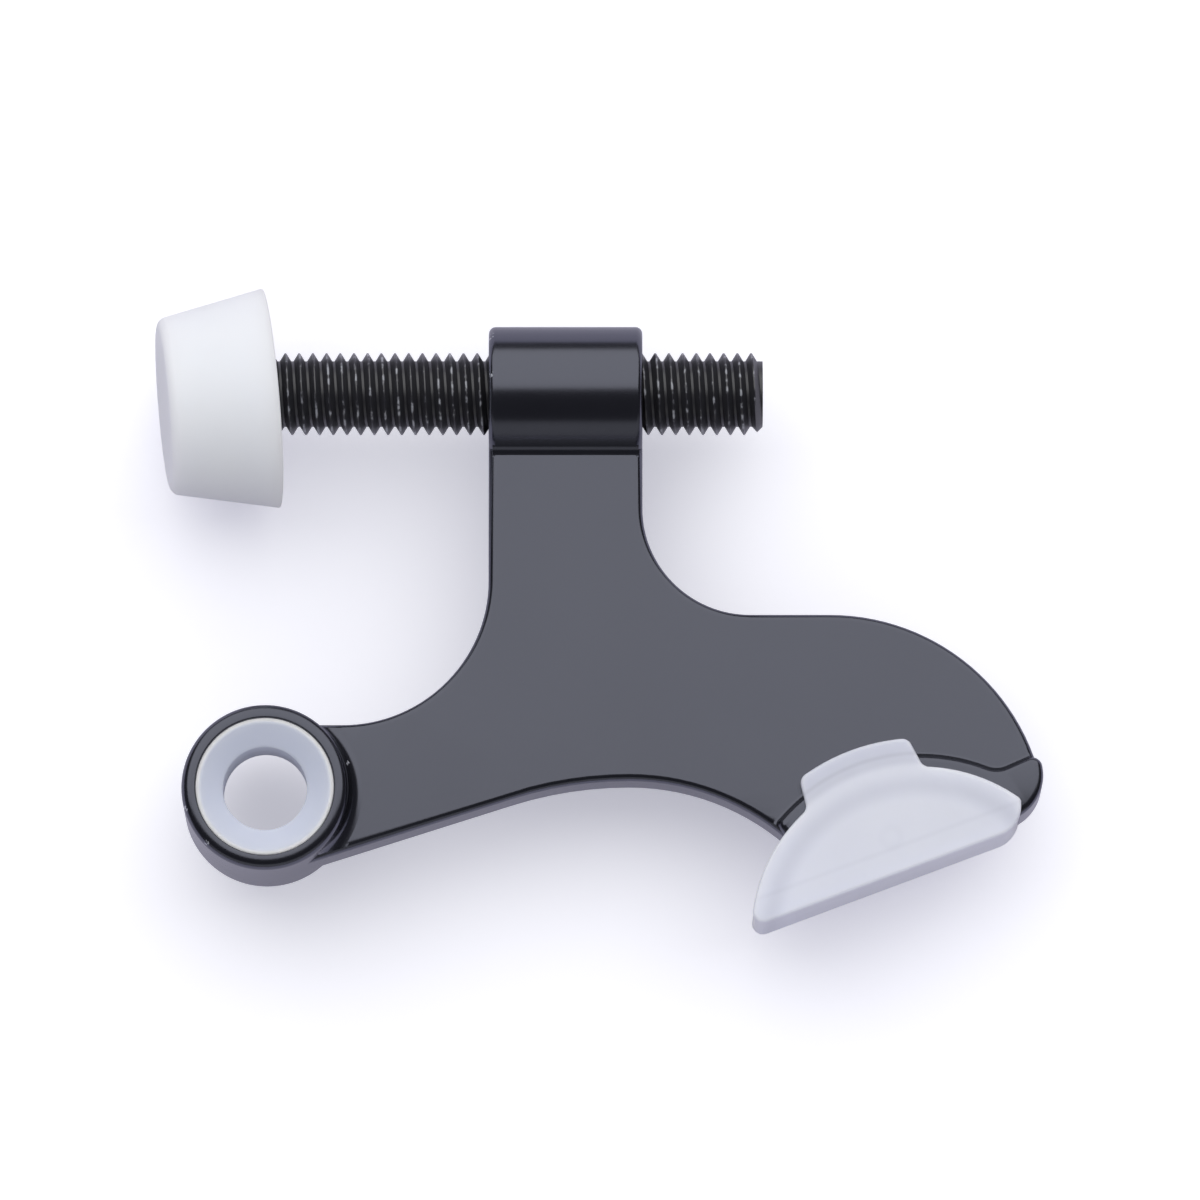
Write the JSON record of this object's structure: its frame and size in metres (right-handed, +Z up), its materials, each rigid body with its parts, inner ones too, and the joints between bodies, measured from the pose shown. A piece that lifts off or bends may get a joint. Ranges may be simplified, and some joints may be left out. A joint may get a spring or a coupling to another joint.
{
  "type": "hinge pin door stop",
  "caption": "Door stop that sits on a hinge pin: a cast arm with a pin eye, a rubber bumper on an adjusting screw and a half-moon pad that swivels on the foot.",
  "frame": {"origin": "on the hinge-pin axis at the mid-plane of the casting", "axes": "+Z up along the hinge pin, +X along the screw towards its free end, +Y from the eye to the screw"},
  "size_m": [0.0648, 0.0469, 0.0159],
  "materials": {
    "black_paint": "satin black paint on a zinc die-casting",
    "white_nylon": "natural moulded nylon",
    "black_steel": "black coated steel thread",
    "white_rubber": "matte white rubber",
    "milky_plastic": "milky soft plastic"
  },
  "bodies": {
    "body": {"body_casting": "black_paint", "pin_bush": "white_nylon"},
    "bumper": {"bumper_tip": "white_rubber"},
    "screw": {"adjusting_screw": "black_steel"},
    "pad": {"foot_pad": "milky_plastic"}
  },
  "joints": [
    {"name": "screw_advance", "type": "slide", "parent": "body", "child": "bumper", "axis": [1, 0, 0], "range_m": [-0.0085, 0.0145]},
    {"name": "screw_turn", "type": "hinge", "parent": "bumper", "child": "screw", "pos_m": [0, 0.0297, 0], "axis": [1, 0, 0], "range_deg": [-3062, 5222]},
    {"name": "pad_swivel", "type": "hinge", "parent": "body", "child": "pad", "pos_m": [0.0475, -0.0106, 0], "axis": [0, 0, 1], "range_deg": [-20, 0]}
  ],
  "couplings": [
    {"joint": "screw_turn", "follows": "screw_advance", "rad_per_m": 6283.2}
  ]
}
